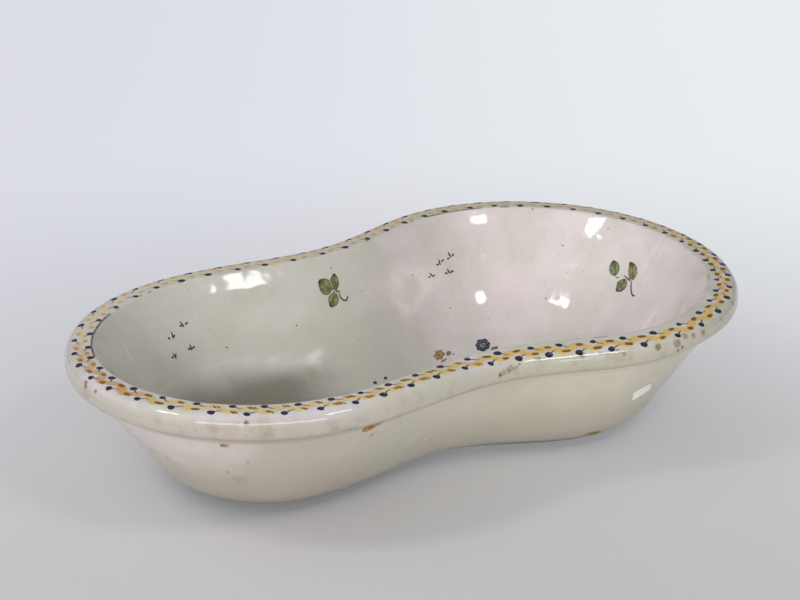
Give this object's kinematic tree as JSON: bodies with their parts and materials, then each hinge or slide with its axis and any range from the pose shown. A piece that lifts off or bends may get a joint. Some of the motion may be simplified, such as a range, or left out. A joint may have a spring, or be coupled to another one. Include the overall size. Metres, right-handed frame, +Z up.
{
  "type": "bidet basin",
  "caption": "Fiddle-shaped faience bidet basin with sloping walls, a flat base, a wide flat rim with a painted wavy border and a rolled lip under its edge",
  "frame": {"origin": "on the ground, under the middle of the basin's length and width", "axes": "+X runs along the length towards the larger lobe, +Y across the width, +Z up out of the basin"},
  "size_m": [0.54, 0.328, 0.109],
  "materials": {
    "tin_glaze": "glossy warm white tin glaze, faintly lavender and green, with pinholes and specks",
    "painted_glaze": "glossy white tin glaze with an ochre wavy ribbon and dark blue dots painted in it",
    "label_paper": "matt white paper, blank"
  },
  "bodies": {
    "root": {"basin_floor": "tin_glaze", "back_wall": "tin_glaze", "front_wall": "tin_glaze", "flat_rim": "painted_glaze", "rolled_lip": "tin_glaze", "paper_label": "label_paper"}
  },
  "joints": []
}
